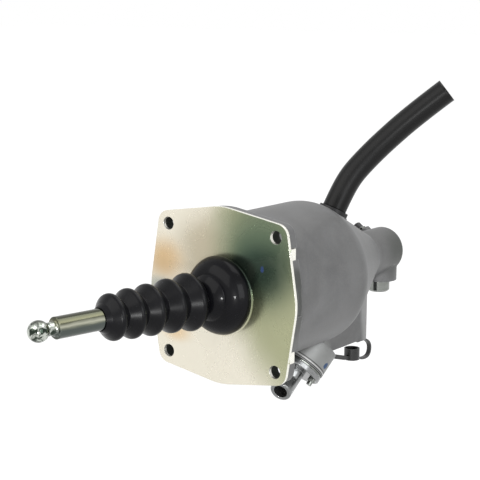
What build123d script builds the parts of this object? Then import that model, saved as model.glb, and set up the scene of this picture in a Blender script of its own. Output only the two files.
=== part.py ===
from build123d import *
from math import cos, pi, radians, sin, sqrt, tan
import os

# Air assisted clutch servo, in millimetres, +Z up.
# The origin is where the push rod's axis meets the mounting face of the plate.
# The push rod points along -Y, the cylinder lies behind the plate along +Y.

os.makedirs("parts", exist_ok=True)

# Clearances
running_clearance = 0.08
loose_clearance = 0.3
seat_clearance = 0.1
press_clearance = 0.02

# Mounting plate and its four bolt holes
plate_thickness = 3.0
plate_margin = 10.5
side_slope = 9.1
corner_radius = 11.0
side_radius = 60.0
hole_radius = 5.5
hole_margin = 3.782
boot_opening_radius = 27.0
rim_radius = 33.0
rim_height = 1.2
rim_edge = 0.8
tab_height = 9.2
tab_reach = 5.5
tab_place = 42.0

# Gasket and flange of the casting
gasket_thickness = 0.6
flange_inset = 0.8
flange_thickness = 9.0
flange_fillet = 4.0
flange_step = 2.0
relief_depth = 3.4
relief_bottom = -8.0
relief_top = 36.4
relief_lip = 2.4

# Casting: air cylinder, cone and rear hydraulic cylinder
bore_radius = 57.5
cylinder_wall = 7.0
cone_start = 125.6
cone_slope = 24.3
shoulder_radius = 26.0
rear_boss_radius = 22.0
rear_end = 267.0
rear_edge_radius = 6.0
throat_radius = 16.0
hub_front = 168.0
hub_wall = 3.0
spring_seat = 185.0
seal_step = 16.0
chamber_gap = 1.0
chamber_wall = 8.0

# Hydraulic port under the rear end
port_place = 255.0
port_boss_radius = 17.4
port_boss_drop = 28.4
port_fillet = 3.0
port_thread_radius = 8.0
port_thread_depth = 11.0
port_passage_radius = 2.5
washer_radius = 11.6
washer_thickness = 1.2
adapter_radius = 10.8
adapter_length = 10.4
adapter_bore_radius = 5.6
adapter_bore_depth = 13.0
adapter_edge = 1.5
thread_lead = 1.0

# Bleed screw on the high side of the rear end
bleed_angle = 37.0
bleed_boss_radius = 9.0
bleed_boss_reach = 24.6
bleed_thread_radius = 4.8
bleed_passage_radius = 1.6
bleed_floor = 2.0
bleed_hex = 11.0
bleed_hex_height = 3.4
bleed_nipple_radius = 3.1
bleed_nipple_length = 5.2
bleed_nipple_taper = 1.4
bleed_nipple_tip = 2.4
bleed_bore_radius = 1.0
bleed_bore_start = 4.0
bleed_cap_wall = 2.2
bleed_cap_top = 1.4
bleed_cap_edge = 1.0

# Control valve block below the cone
block_width = 30.0
block_bottom = 77.5
block_edge = 3.0
block_front = 140.0
block_nose = 122.0
nose_bottom = 62.0
nose_top = 40.0
block_rear_top = 20.0
pillar_place = 203.0
pillar_radius = 16.0
pillar_top = 15.0
pilot_bore_radius = 10.0
pilot_bore_top = 45.6
pilot_piston_length = 14.0
pilot_plug_length = 6.5
pilot_spring_wire = 1.4
pilot_spring_turns = 4.0
pilot_spring_radius = 7.4
pilot_seal_depth = 2.2
pilot_seal_width = 2.6
pilot_pocket_radius = 5.0
pilot_pocket_floor = 3.0
passage_radius = 2.5

# Angled valve boss, from the middle of its open end
valve_end_side = 1.3
valve_end_place = 119.5
valve_end_drop = 83.9
valve_end = Vector(-valve_end_side, valve_end_place, -valve_end_drop)
valve_direction = Vector(-0.21, -0.64, -0.735).normalized()
valve_boss_radius = 24.0
valve_boss_length = 23.5
valve_bore_radius = 15.0
valve_bore_depth = 20.0
valve_throat_radius = 6.0
valve_throat_end = 32.0
valve_passage_end = 62.0
seat_thickness = 4.4
seat_hole_radius = 7.0
valve_disc_radius = 11.0
valve_disc_thickness = 2.2
valve_stem_radius = 2.5
valve_stem_length = 11.0
valve_spring_wire = 1.2
valve_spring_radius = 8.0
valve_spring_turns = 2.5

# Swivel elbow of the air inlet
spigot_depth = 7.0
spigot_bore_radius = 9.0
spigot_lead = 1.0
o_ring_thickness = 2.2
o_ring_depth = 2.0
circlip_gap = 0.4
circlip_thickness = 1.4
circlip_radius = 23.2
collar_radius = 23.8
collar_thickness = 4.7
collar_edge = 0.8
elbow_radius = 9.75
elbow_bore_radius = 6.5
elbow_rise = 11.5
elbow_length = 18.0
elbow_bend_radius = 14.0
elbow_rim = 0.8
elbow_direction = Vector(0.165, -0.91, -0.37).normalized()
elbow_screw_angle = -12.0
elbow_screw_place = 19.4
elbow_screw_radius = 2.0
elbow_screw_depth = 8.0
elbow_screw_hex = 6.0
elbow_screw_hex_height = 3.2
elbow_screw_tip = 3.6
elbow_screw_tip_radius = 2.4

# Push rod, along its own line before it is swung
pivot_place = 8.0
rod_swing = 11.0
rod_radius = 8.6
rod_ball_radius = 8.4
rod_ball_place = -176.5
rod_neck_radius = 5.2
rod_shoulder = -162.5
rod_shoulder_fillet = 2.4
rod_edge = 0.7
rod_inner_end = -9.0
rod_inner_ball_radius = 10.0
rod_inner_neck_radius = 5.5
rod_inner_taper = 5.0
liner_thickness = 2.9
liner_front = 1.2

# Power piston and hydraulic plunger
piston_front = 14.0
piston_length = 20.0
piston_rim = 7.7
web_front = 20.0
web_back = 27.0
hub_radius = 19.0
hub_edge = 1.5
web_fillet = 3.0
piston_edge = 1.0
spring_spigot_radius = 20.5
guide_ring_place = 16.5
guide_ring_width = 6.0
guide_ring_depth = 2.5
lip_seal_place = 25.5
lip_seal_width = 6.0
lip_seal_depth = 5.7
lip_seal_lip = 1.6
lip_seal_root = 2.2
lip_seal_taper = 1.0
retainer_wall = 2.3
retainer_front = 0.4
retainer_back = 6.1
plunger_radius = 14.0
plunger_wall = 4.5
plunger_socket = 10.0
plunger_tip = 188.0
plunger_end_wall = 12.0
plunger_edge = 1.5
bush_wall = 4.5
bush_length = 8.0
plunger_seal_lip = 1.2
plunger_seal_root = 3.0

# Return spring between the piston and the casting
spring_wire = 4.0
spring_radius = 25.6
spring_turns = 6.0

# Rubber bellows along the rod's own line: (place, radius) of their sharp crests and valleys
boot_wall = 2.0
boot_lip_wall = 3.0
boot_mouth_flare = 1.2
boot_overlap = 5.0
boot_lip = (-121.5, 9.5)
boot_funnel = (-117.8, 12.0)
boot_crests = [(-110.7, 20.2), (-93.0, 21.4), (-74.4, 22.0), (-54.0, 23.0), (-34.0, 25.2)]
boot_valleys = [(-101.9, 12.7), (-83.8, 13.7), (-64.3, 14.5), (-43.9, 16.0), (-25.5, 17.5)]
boot_crest_fillet = 4.0
boot_valley_fillet = 1.0
boot_tail = -17.0

# The boot's bulb, pushed a little aside by the swung rod, and its neck in the plate
bulb_middle = Vector(4.4, -8.0, 2.7)
bulb_swing = 5.5
boot_front = (-22.0, 16.0)
boot_shoulder = (-18.4, 26.4)
boot_bulb = (-8.0, 32.7)
boot_heel = (-3.8, 31.0)
boot_tuck = (-2.0, 26.8)
boot_back = -1.6
boot_neck_wall = 2.1
boot_bead_radius = 30.5
boot_bead_thickness = 2.2

# Exhaust hose: its middle line from the spigot's collar to the open end
hose_radius = 11.5
hose_bore_radius = 8.25
bend_share = 0.45
hose_points = [
    (-18.7, 201.1, 45.6),
    (-14.7, 207.7, 61.3),
    (-9.2, 215.3, 76.6),
    (-1.1, 224.3, 90.0),
    (12.4, 236.0, 108.0),
    (36.0, 252.7, 134.3),
    (61.2, 267.3, 157.3),
]
spigot_collar_radius = 14.2
spigot_collar_thickness = 4.0
spigot_wall = 2.0
spigot_stem = 12.0
spigot_insert = 14.0
exhaust_boss_radius = 15.0
exhaust_boss_depth = 30.0
exhaust_passage_radius = 3.0
exhaust_passage_front = 160.0

# Rubber strap with a dust cap, hung from the pilot bore's plug
strap_side = 7.6
strap_width = 4.0
strap_thickness = 1.9
strap_disc_radius = 8.6
strap_disc_thickness = 2.4
strap_stud_radius = 3.0
strap_stud_length = 5.0
loop_points = [(203.0, -79.6), (217.0, -80.6), (227.0, -88.6), (225.0, -96.8), (214.5, -98.6), (201.0, -95.0)]
cup_place = 195.6
cup_radius = 7.3
cup_wall = 1.5
cup_top = -84.5
cup_bottom = -95.4
tail_root = (190.0, -93.0)
tail_slope = 16.4
tail_length = 36.0
tail_thickness = 2.8
tooth_pitch = 3.4
tooth_radius = 1.3
tooth_start = 2.0
tail_plain = 8.0

# Sizes that follow from the ones above
slope = tan(radians(side_slope))
flange_front = plate_thickness + gasket_thickness
flange_back = flange_front + flange_thickness
body_radius = bore_radius + cylinder_wall
plate_half_width = body_radius + plate_margin
hole_reach = body_radius + flange_fillet + hole_margin + hole_radius
hole_pitch = sqrt(2) * hole_reach
cone_fall = tan(radians(cone_slope))
cone_wall = cylinder_wall / cos(radians(cone_slope))
cone_end = cone_start + (body_radius - rear_boss_radius) / cone_fall
inner_cone_start = cone_start - (bore_radius + cone_wall - body_radius) / cone_fall
seat_radius = body_radius - cone_wall - (spring_seat - cone_start) * cone_fall
bush_radius = plunger_radius + bush_wall
chamber_radius = plunger_radius + chamber_gap
chamber_end = rear_end - chamber_wall
bleed_inner_end = chamber_radius + bleed_floor + seat_clearance
piston_radius = bore_radius - loose_clearance
piston_back = piston_front + piston_length
liner_radius = rod_inner_ball_radius + running_clearance + liner_thickness
pocket_radius = liner_radius + running_clearance
retainer_radius = pocket_radius + retainer_wall
pilot_plug_top = block_bottom - pilot_plug_length
pilot_piston_top = pilot_bore_top + loose_clearance
pilot_piston_bottom = pilot_piston_top + pilot_piston_length
seat_back = valve_bore_depth
seat_front = seat_back - seat_thickness
disc_back = seat_front - seat_clearance
disc_front = disc_back - valve_disc_thickness
collar_back = circlip_thickness + 2 * circlip_gap
collar_front = collar_back + collar_thickness
stem_radius = hose_bore_radius - loose_clearance

# Planes that the pieces stand on; z runs out of the casting
rod_line = Plane(origin=(0, 0, 0), x_dir=(1, 0, 0), z_dir=(0, 1, 0))
port_plane = Plane(origin=(0, port_place, 0), x_dir=(1, 0, 0), z_dir=(0, 0, -1))
pillar_plane = Plane(origin=(0, pillar_place, 0), x_dir=(1, 0, 0), z_dir=(0, 0, -1))
bleed_direction = Vector(-cos(radians(bleed_angle)), 0, sin(radians(bleed_angle)))
bleed_plane = Plane(origin=(0, port_place, 0), x_dir=(0, 1, 0), z_dir=bleed_direction)
valve_across = Vector(1, 0, 0) - valve_direction * valve_direction.X
valve_plane = Plane(origin=valve_end, x_dir=valve_across, z_dir=valve_direction)
hose_start = Vector(*hose_points[0])
exhaust_direction = (Vector(*hose_points[1]) - hose_start).normalized()
exhaust_plane = Plane(origin=hose_start, z_dir=exhaust_direction)
swung = Pos(0, pivot_place, 0) * Rot(0, 0, -rod_swing) * Pos(0, -pivot_place, 0)
bulb_line = Pos(bulb_middle) * Rot(0, 0, -bulb_swing) * Pos(0, -boot_bulb[0], 0)


def bar(plane, radius, start, end):
    """A round bar along the plane's own z."""
    upright = (Align.CENTER, Align.CENTER, Align.MIN)
    return plane * Pos(0, 0, start) * Cylinder(radius, end - start, align=upright)


def tube(plane, outer, inner, start, end):
    return bar(plane, outer, start, end) - bar(plane, inner, start - 1, end + 1)


def hexagon(plane, across, start, end):
    flat = RegularPolygon(across / 2, 6, major_radius=False)
    return plane * Pos(0, 0, start) * extrude(flat, amount=end - start)


def turned_edges(*edges):
    """Turns a closed outline of (radius, place) edges about the rod's axis."""
    return revolve(make_face(list(edges)), Axis.Y)


def turned(points):
    """Turns an outline of (place, radius) corners about the rod's axis."""
    return revolve(section(points), Axis.Y)


def section(points):
    outline = [(radius, place) for place, radius in points]
    return make_face(Polyline(*outline, close=True))


def corner(face, place, radius):
    """The one corner of a turned section that lies at (place, radius)."""
    return [v for v in face.vertices() if abs(v.X - radius) < 0.01 and abs(v.Y - place) < 0.01]


def turned_on(plane, points):
    """Turns an outline of (height, radius) corners about the plane's own z."""
    outline = [(radius, 0, height) for height, radius in points]
    return plane * revolve(make_face(Polyline(*outline, close=True)), Axis.Z)


def coil(start, direction, radius, wire, height, turns):
    """A round wire wound as a helix, its ends' middles height apart."""
    line = Helix(pitch=height / turns, height=height, radius=radius, center=start, direction=direction)
    wire_end = Plane(origin=line @ 0, z_dir=line % 0) * Circle(wire / 2)
    return sweep(wire_end, path=line, is_frenet=True)


def save(shape, name):
    export_step(shape, f"parts/{name}.step")


# Plate, gasket and flange share one outline
def crowned_square(inset):
    """A square whose sides rise a little towards their middles, with round corners."""
    half = plate_half_width - inset
    reach = half / (1 + slope)
    middles = [(0, half), (-half, 0), (0, -half), (half, 0)]
    corners = [(-reach, reach), (-reach, -reach), (reach, -reach), (reach, reach)]
    points = [point for pair in zip(middles, corners) for point in pair]
    outline = make_face(Polyline(*points, close=True))
    at_corners = [v for v in outline.vertices() if abs(abs(v.X) - abs(v.Y)) < 0.01]
    outline = fillet(at_corners, corner_radius - inset)
    at_middles = [v for v in outline.vertices() if min(abs(v.X), abs(v.Y)) < 0.01]
    return fillet(at_middles, side_radius)


def slab(inset, start, end):
    return Pos(0, start, 0) * extrude(Plane.XZ * crowned_square(inset), amount=start - end)


def bolt_holes(start, end):
    places = [-hole_pitch / 2, hole_pitch / 2]
    lines = [Plane(origin=(x, 0, z), z_dir=(0, 1, 0)) for x in places for z in places]
    return [bar(line, hole_radius, start - 1, end + 1) for line in lines]


def tabs(margin, start, end):
    """The lips at the plate's side edges, grown by a margin to cut their pockets."""
    outer = plate_half_width - slope * tab_place
    inner = outer - plate_thickness - margin
    reach = outer + 2 * margin - inner
    shape = Box(reach, end - start, tab_height + 2 * margin)
    middle = inner + reach / 2
    places = [(x, z) for x in (-middle, middle) for z in (-tab_place, tab_place)]
    return [Pos(x, (start + end) / 2, z) * shape for x, z in places]


def mounting_plate():
    plate = slab(0, 0, plate_thickness)
    plate -= bolt_holes(0, plate_thickness)
    plate += turned([
        (-rim_height, 0), (-rim_height, rim_radius - rim_edge), (rim_edge - rim_height, rim_radius),
        (plate_thickness, rim_radius), (plate_thickness, 0)])
    plate -= bar(rod_line, boot_opening_radius, -rim_height - 1, plate_thickness + 1)
    return plate + tabs(0, plate_thickness - 1, plate_thickness + tab_reach)


def plate_gasket():
    gasket = slab(flange_inset, plate_thickness, flange_front)
    gasket -= bolt_holes(plate_thickness, flange_front)
    gasket -= bar(rod_line, bore_radius, plate_thickness - 1, flange_front + 1)
    return gasket - tabs(loose_clearance, plate_thickness - 1, flange_back)


# The casting: flange, cylinder, cone, rear cylinder, valve block and bosses in one piece
def casting_body():
    flange_ring = plate_half_width - flange_inset - flange_step
    outline = section([
        (flange_front, 0), (flange_front, flange_ring), (flange_back, flange_ring),
        (flange_back, body_radius), (cone_start, body_radius), (cone_end, rear_boss_radius),
        (rear_end, rear_boss_radius), (rear_end, 0)])
    outline = fillet(corner(outline, flange_back, body_radius), flange_fillet)
    outline = fillet(corner(outline, cone_start, body_radius), shoulder_radius)
    outline = fillet(corner(outline, cone_end, rear_boss_radius), throat_radius)
    outline = fillet(corner(outline, rear_end, rear_boss_radius), rear_edge_radius)
    body = revolve(outline, Axis.Y) + bar(port_plane, port_boss_radius, 0, port_boss_drop)
    seams = [e for e in body.edges() if on_port_boss(e) and e.bounding_box().min.Z > 1 - port_boss_drop]
    return fillet(seams, port_fillet)


def on_port_boss(edge):
    """True when both ends and the middle of the edge lie on the port boss's wall."""
    points = [edge @ share for share in (0, 0.5, 1)]
    return all(abs(sqrt(p.X ** 2 + (p.Y - port_place) ** 2) - port_boss_radius) < 0.01 for p in points)


def casting_flange():
    flange = slab(flange_inset, flange_front, flange_back)
    outer = plate_half_width + 1
    height = relief_top - relief_bottom
    depth = flange_thickness - relief_lip
    shape = Box(2 * (relief_depth + 1), depth, height)
    place = (flange_back + flange_front + relief_lip) / 2
    for side in (-1, 1):
        flange -= Pos(side * outer, place, (relief_top + relief_bottom) / 2) * shape
    return flange


def valve_block():
    side = [(pillar_place, -block_bottom), (block_front, -block_bottom), (block_nose, -nose_bottom),
            (block_nose, -nose_top), (pillar_place, -block_rear_top)]
    block = extrude(Plane.YZ * make_face(Polyline(*side, close=True)), amount=block_width / 2, both=True)
    long_edges = [e for e in block.edges().filter_by(Axis.Y) if abs(e.center().Z + block_bottom) < 0.01]
    block = fillet(long_edges, block_edge)
    pillar = bar(pillar_plane, pillar_radius, pillar_top, block_bottom)
    return block + pillar + bar(valve_plane, valve_boss_radius, -valve_boss_length, 0)


def rear_bosses():
    bleed = bar(bleed_plane, bleed_boss_radius, 0, bleed_boss_reach)
    top = -spigot_collar_thickness
    exhaust = bar(exhaust_plane, exhaust_boss_radius, top - exhaust_boss_depth, top)
    return [bleed, exhaust]


def casting_hollows():
    """All that is bored out of the casting, from the front to the rear."""
    hub_radius_outer = bush_radius + hub_wall
    cylinder = turned([
        (flange_front - 1, 0), (flange_front - 1, bore_radius), (inner_cone_start, bore_radius),
        (spring_seat, seat_radius), (spring_seat, hub_radius_outer), (hub_front, hub_radius_outer),
        (hub_front, 0)])
    seal_seat = bar(rod_line, bush_radius, hub_front - 1, hub_front + seal_step)
    chamber = bar(rod_line, chamber_radius, hub_front, chamber_end)
    thread_top = port_boss_drop - port_thread_depth
    port_thread = bar(port_plane, port_thread_radius, thread_top, port_boss_drop + 1)
    port_passage = bar(port_plane, port_passage_radius, 0, port_boss_drop)
    bleed_hole_radius = bleed_thread_radius + seat_clearance
    bleed_thread = bar(bleed_plane, bleed_hole_radius, bleed_inner_end - seat_clearance, bleed_boss_reach + 1)
    bleed_passage = bar(bleed_plane, bleed_passage_radius, 0, bleed_boss_reach)
    pilot_bore = bar(pillar_plane, pilot_bore_radius, pilot_bore_top, block_bottom + 1)
    pilot_feed = bar(pillar_plane, passage_radius, 0, pilot_bore_top + 1)
    return [cylinder, seal_seat, chamber, port_thread, port_passage, bleed_thread, bleed_passage,
            pilot_bore, pilot_feed]


def valve_hollows():
    bore = bar(valve_plane, valve_bore_radius, -valve_bore_depth, 1)
    throat = bar(valve_plane, valve_throat_radius, -valve_throat_end, 0)
    air_passage = bar(valve_plane, passage_radius, -valve_passage_end, 0)
    throat_place = valve_end - valve_direction * (valve_throat_end - valve_throat_radius)
    link_line = Plane(origin=(throat_place.X, 0, throat_place.Z), z_dir=(0, 1, 0))
    pilot_link = bar(link_line, passage_radius, throat_place.Y, pillar_place - pilot_bore_radius / 2)
    screw_hole = bar(screw_plane(), elbow_screw_radius + seat_clearance, -elbow_screw_depth, 1)
    insert_end = -spigot_collar_thickness - spigot_insert
    insert_hole = bar(exhaust_plane, hose_bore_radius, insert_end - 1, 0)
    vent_place = hose_start + exhaust_direction * (insert_end + 1)
    vent_line = Plane(origin=(vent_place.X, 0, vent_place.Z), z_dir=(0, 1, 0))
    vent = bar(vent_line, exhaust_passage_radius, exhaust_passage_front, vent_place.Y)
    return [bore, throat, air_passage, pilot_link, screw_hole, insert_hole, vent]


def housing():
    casting = casting_body() + rear_bosses() + valve_block() + casting_flange()
    casting -= bolt_holes(flange_front, flange_back)
    casting -= tabs(loose_clearance, plate_thickness, flange_back + 1)
    casting -= casting_hollows()
    return casting - valve_hollows()


# Rear fittings
def port_washer():
    return tube(port_plane, washer_radius, port_thread_radius + seat_clearance, port_boss_drop,
                port_boss_drop + washer_thickness)


def port_adapter():
    seat = port_boss_drop + washer_thickness
    end = seat + adapter_length
    top = port_boss_drop - port_thread_depth + thread_lead
    shank = port_thread_radius - seat_clearance
    adapter = turned_on(port_plane, [
        (top, 0), (top, shank - thread_lead), (top + thread_lead, shank), (seat, shank),
        (seat, adapter_radius), (end - adapter_edge, adapter_radius), (end, adapter_radius - adapter_edge),
        (end, 0)])
    adapter -= bar(port_plane, adapter_bore_radius, end - adapter_bore_depth, end + 1)
    return adapter - bar(port_plane, port_passage_radius, 0, end)


def bleed_screw():
    seat = bleed_boss_reach + loose_clearance
    nipple = seat + bleed_hex_height
    tip = nipple + bleed_nipple_length
    screw = bar(bleed_plane, bleed_thread_radius, bleed_inner_end, seat)
    screw += hexagon(bleed_plane, bleed_hex, seat, nipple)
    screw += turned_on(bleed_plane, [
        (nipple, 0), (nipple, bleed_nipple_radius), (tip - bleed_nipple_taper, bleed_nipple_radius),
        (tip, bleed_nipple_tip), (tip, 0)])
    return screw - bar(bleed_plane, bleed_bore_radius, bleed_inner_end + bleed_bore_start, tip + 1)


def bleed_cap():
    nipple = bleed_boss_reach + loose_clearance + bleed_hex_height
    tip = nipple + bleed_nipple_length
    outer = bleed_nipple_radius + bleed_cap_wall
    end = tip + bleed_cap_top + seat_clearance
    cap = turned_on(bleed_plane, [
        (nipple + seat_clearance, 0), (nipple + seat_clearance, outer), (end - bleed_cap_edge, outer),
        (end, outer - bleed_cap_edge), (end, 0)])
    return cap - bar(bleed_plane, bleed_nipple_radius + seat_clearance, nipple, tip + seat_clearance)


def exhaust_spigot():
    top = -spigot_collar_thickness
    insert = hose_bore_radius - seat_clearance
    spigot = bar(exhaust_plane, insert, top - spigot_insert, top)
    spigot += bar(exhaust_plane, spigot_collar_radius, top, 0)
    spigot += bar(exhaust_plane, stem_radius, 0, spigot_stem)
    bore = stem_radius - spigot_wall
    return spigot - bar(exhaust_plane, bore, top - spigot_insert - 1, spigot_stem + 1)


def exhaust_hose():
    points = [Vector(*point) for point in hose_points]
    runs = [b - a for a, b in zip(points, points[1:])]
    radii = []
    for before, after in zip(runs, runs[1:]):
        shorter = min(before.length, after.length)
        radii.append(bend_share * shorter / tan(radians(before.get_angle(after) / 2)))
    line = FilletPolyline(*points, radius=radii)
    print("hose bend radii", [round(radius, 1) for radius in radii])
    ring = Circle(hose_radius) - Circle(hose_bore_radius)
    hose = sweep(exhaust_plane * ring, path=line)
    area = pi * (hose_radius ** 2 - hose_bore_radius ** 2)
    print("hose length", round(line.length, 1))
    print("hose volume over area times length", round(hose.volume / (area * line.length), 4))
    return hose


# Hydraulic seal pack in the casting's hub
def guide_bush():
    return tube(rod_line, bush_radius - press_clearance, plunger_radius + running_clearance,
                hub_front + loose_clearance, hub_front + loose_clearance + bush_length)


def plunger_seal():
    front = hub_front + 2 * loose_clearance + bush_length
    back = hub_front + seal_step - seat_clearance
    outer = bush_radius - press_clearance
    inner = plunger_radius + running_clearance
    return turned([
        (front, inner), (front, outer), (back, outer), (back, outer - plunger_seal_lip),
        (front + plunger_seal_root, (outer + inner) / 2), (back, inner + plunger_seal_lip), (back, inner)])


# Piston group
def power_piston():
    rim = piston_radius - piston_rim
    outline = section([
        (0, 0), (0, hub_radius), (web_front, hub_radius), (web_front, rim), (piston_front, rim),
        (piston_front, piston_radius), (piston_back, piston_radius), (piston_back, rim), (web_back, rim),
        (web_back, spring_spigot_radius), (piston_back, spring_spigot_radius), (piston_back, 0)])
    outline = chamfer(corner(outline, 0, hub_radius), hub_edge)
    outline = fillet(corner(outline, web_front, hub_radius), web_fillet)
    outline = fillet(corner(outline, web_front, rim), web_fillet)
    outline = chamfer(corner(outline, piston_front, piston_radius), piston_edge)
    piston = revolve(outline, Axis.Y)
    piston -= tube(rod_line, bore_radius, piston_radius - guide_ring_depth, guide_ring_place,
                   guide_ring_place + guide_ring_width)
    piston -= tube(rod_line, bore_radius, piston_radius - lip_seal_depth, lip_seal_place,
                   lip_seal_place + lip_seal_width)
    piston -= Pos(0, pivot_place, 0) * Sphere(pocket_radius)
    piston -= bar(rod_line, retainer_radius, -1, retainer_back + seat_clearance)
    socket = plunger_radius + press_clearance
    return piston - bar(rod_line, socket, piston_back - plunger_socket, piston_back + 1)


def piston_guide_ring():
    return tube(rod_line, bore_radius - running_clearance, piston_radius - guide_ring_depth + seat_clearance,
                guide_ring_place + seat_clearance, guide_ring_place + guide_ring_width - seat_clearance)


def piston_seal():
    front = lip_seal_place + seat_clearance
    back = lip_seal_place + lip_seal_width - seat_clearance
    inner = piston_radius - lip_seal_depth + seat_clearance
    outer = bore_radius - running_clearance
    return turned([
        (front, inner), (front, outer - lip_seal_taper), (back, outer), (back, outer - lip_seal_lip),
        (front + lip_seal_root, (inner + outer) / 2), (back, inner + lip_seal_lip), (back, inner)])


def hydraulic_plunger():
    start = piston_back - plunger_socket + press_clearance
    bore = plunger_radius - plunger_wall
    return turned([
        (start, bore), (start, plunger_radius), (plunger_tip - plunger_edge, plunger_radius),
        (plunger_tip, plunger_radius - plunger_edge), (plunger_tip, 0), (plunger_tip - plunger_end_wall, 0),
        (plunger_tip - plunger_end_wall, bore)])


def rod_retainer():
    ring = bar(rod_line, retainer_radius - press_clearance, retainer_front, retainer_back)
    return ring - Pos(0, pivot_place, 0) * Sphere(pocket_radius)


def return_spring():
    start = web_back + seat_clearance + spring_wire / 2
    end = spring_seat - seat_clearance - spring_wire / 2
    return coil((0, start, 0), (0, 1, 0), spring_radius, spring_wire, end - start, spring_turns)


# Push rod and the cup that its inner ball turns in
def ball_cup():
    cup = Pos(0, pivot_place, 0) * (Sphere(liner_radius) - Sphere(rod_inner_ball_radius + running_clearance))
    return swung * (cup - bar(rod_line, liner_radius + 1, -liner_radius, liner_front))


def push_rod():
    ball = rod_ball_place
    neck = rod_neck_radius
    neck_start = ball + sqrt(rod_ball_radius ** 2 - neck ** 2)
    inner_ball = rod_inner_ball_radius
    inner_neck = rod_inner_neck_radius
    inner_start = pivot_place - sqrt(inner_ball ** 2 - inner_neck ** 2)
    bend = rod_shoulder_fillet
    hollow = bend * (1 - sqrt(0.5))
    rod = turned_edges(
        ThreePointArc((0, ball - rod_ball_radius), (rod_ball_radius, ball), (neck, neck_start)),
        Line((neck, neck_start), (neck, rod_shoulder - bend)),
        ThreePointArc((neck, rod_shoulder - bend), (neck + hollow, rod_shoulder - hollow),
                      (neck + bend, rod_shoulder)),
        Line((neck + bend, rod_shoulder), (rod_radius - rod_edge, rod_shoulder)),
        Line((rod_radius - rod_edge, rod_shoulder), (rod_radius, rod_shoulder + rod_edge)),
        Line((rod_radius, rod_shoulder + rod_edge), (rod_radius, rod_inner_end)),
        Line((rod_radius, rod_inner_end), (inner_neck, rod_inner_end + rod_inner_taper)),
        Line((inner_neck, rod_inner_end + rod_inner_taper), (inner_neck, inner_start)),
        ThreePointArc((inner_neck, inner_start), (inner_ball, pivot_place), (0, pivot_place + inner_ball)),
        Line((0, pivot_place + inner_ball), (0, ball - rod_ball_radius)))
    return swung * rod


# Boot: bellows that follow the rod, then a bulb and a bead held in the plate
def boot_folds(inset, lip_place):
    """The closed form of the bellows, or their inside when inset by the wall."""
    flare = boot_mouth_flare if inset else 0
    folds = [point for pair in zip(boot_crests, boot_valleys) for point in pair]
    outer = [(lip_place, boot_lip[1] + flare), boot_funnel] + folds + [(boot_tail, boot_valleys[-1][1])]
    rim = [(place, radius - inset) for place, radius in outer]
    outline = section([(lip_place, 0)] + rim + [(boot_tail, 0)])
    for place, radius in boot_crests:
        outline = fillet(corner(outline, place, radius - inset), boot_crest_fillet)
    for place, radius in boot_valleys:
        outline = fillet(corner(outline, place, radius - inset), boot_valley_fillet)
    return swung * revolve(outline, Axis.Y)


def boot_dome(inset):
    """The closed form of the bulb in front of the plate, or its inside when inset by the wall."""
    front = (boot_front[1] - inset, boot_front[0] + inset)
    shoulder = (boot_shoulder[1] - inset, boot_shoulder[0] + inset)
    bulb = (boot_bulb[1] - inset, boot_bulb[0])
    heel = (boot_heel[1] - inset, boot_heel[0])
    tuck = (boot_tuck[1] - inset, boot_tuck[0])
    dome = bulb_line * turned_edges(
        Line((0, front[1]), front), ThreePointArc(front, shoulder, bulb), ThreePointArc(bulb, heel, tuck),
        Line(tuck, (0, tuck[1])), Line((0, tuck[1]), (0, front[1])))
    return dome - bar(rod_line, 2 * boot_bulb[1], boot_back - inset, boot_bulb[1])


def rubber_boot():
    outer = boot_folds(0, boot_lip[0]) + boot_dome(0)
    neck = boot_opening_radius - seat_clearance
    back = plate_thickness + seat_clearance
    collar = bar(rod_line, neck, boot_back - boot_overlap, back)
    bead = bar(rod_line, boot_bead_radius, back, back + boot_bead_thickness)
    mouth = swung * bar(rod_line, rod_radius + loose_clearance, boot_lip[0] - 1, boot_lip[0] + boot_overlap)
    throat_start = boot_back - boot_wall - boot_overlap
    throat = bar(rod_line, neck - boot_neck_wall, throat_start, back + boot_bead_thickness + 1)
    boot = outer + collar + bead - mouth - throat
    boot -= boot_folds(boot_wall, boot_lip[0] + boot_lip_wall)
    return boot - boot_dome(boot_wall)


# Pilot piston in the pillar
def pilot_piston():
    piston = bar(pillar_plane, pilot_bore_radius - running_clearance, pilot_piston_top, pilot_piston_bottom)
    middle = (pilot_piston_top + pilot_piston_bottom) / 2
    floor = pilot_bore_radius - pilot_seal_depth
    half = pilot_seal_width / 2 + seat_clearance
    piston -= tube(pillar_plane, pilot_bore_radius, floor, middle - half, middle + half)
    pocket_floor = middle + pilot_pocket_floor
    return piston - bar(pillar_plane, pilot_pocket_radius, pocket_floor, pilot_piston_bottom + 1)


def pilot_seal():
    middle = (pilot_piston_top + pilot_piston_bottom) / 2
    half = pilot_seal_width / 2
    return tube(pillar_plane, pilot_bore_radius - running_clearance,
                pilot_bore_radius - pilot_seal_depth + seat_clearance, middle - half, middle + half)


def pilot_spring():
    start = pilot_piston_bottom + seat_clearance + pilot_spring_wire / 2
    end = pilot_plug_top - seat_clearance - pilot_spring_wire / 2
    return coil((0, pillar_place, -start), (0, 0, -1), pilot_spring_radius, pilot_spring_wire,
                end - start, pilot_spring_turns)


def pilot_plug():
    plug = bar(pillar_plane, pilot_bore_radius - press_clearance, pilot_plug_top, block_bottom)
    return plug - bar(pillar_plane, strap_stud_radius + press_clearance, pilot_plug_top - 1, block_bottom + 1)


# Inlet valve and swivel elbow in the angled boss
def screw_plane():
    """The screw's line on the elbow's collar, at the boss's open end."""
    angle = radians(elbow_screw_angle)
    place = (elbow_screw_place * cos(angle), elbow_screw_place * sin(angle), 0)
    return Plane(origin=valve_plane.from_local_coords(place), z_dir=valve_direction)


def valve_seat():
    return tube(valve_plane, valve_bore_radius - press_clearance, seat_hole_radius, -seat_back, -seat_front)


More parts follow.
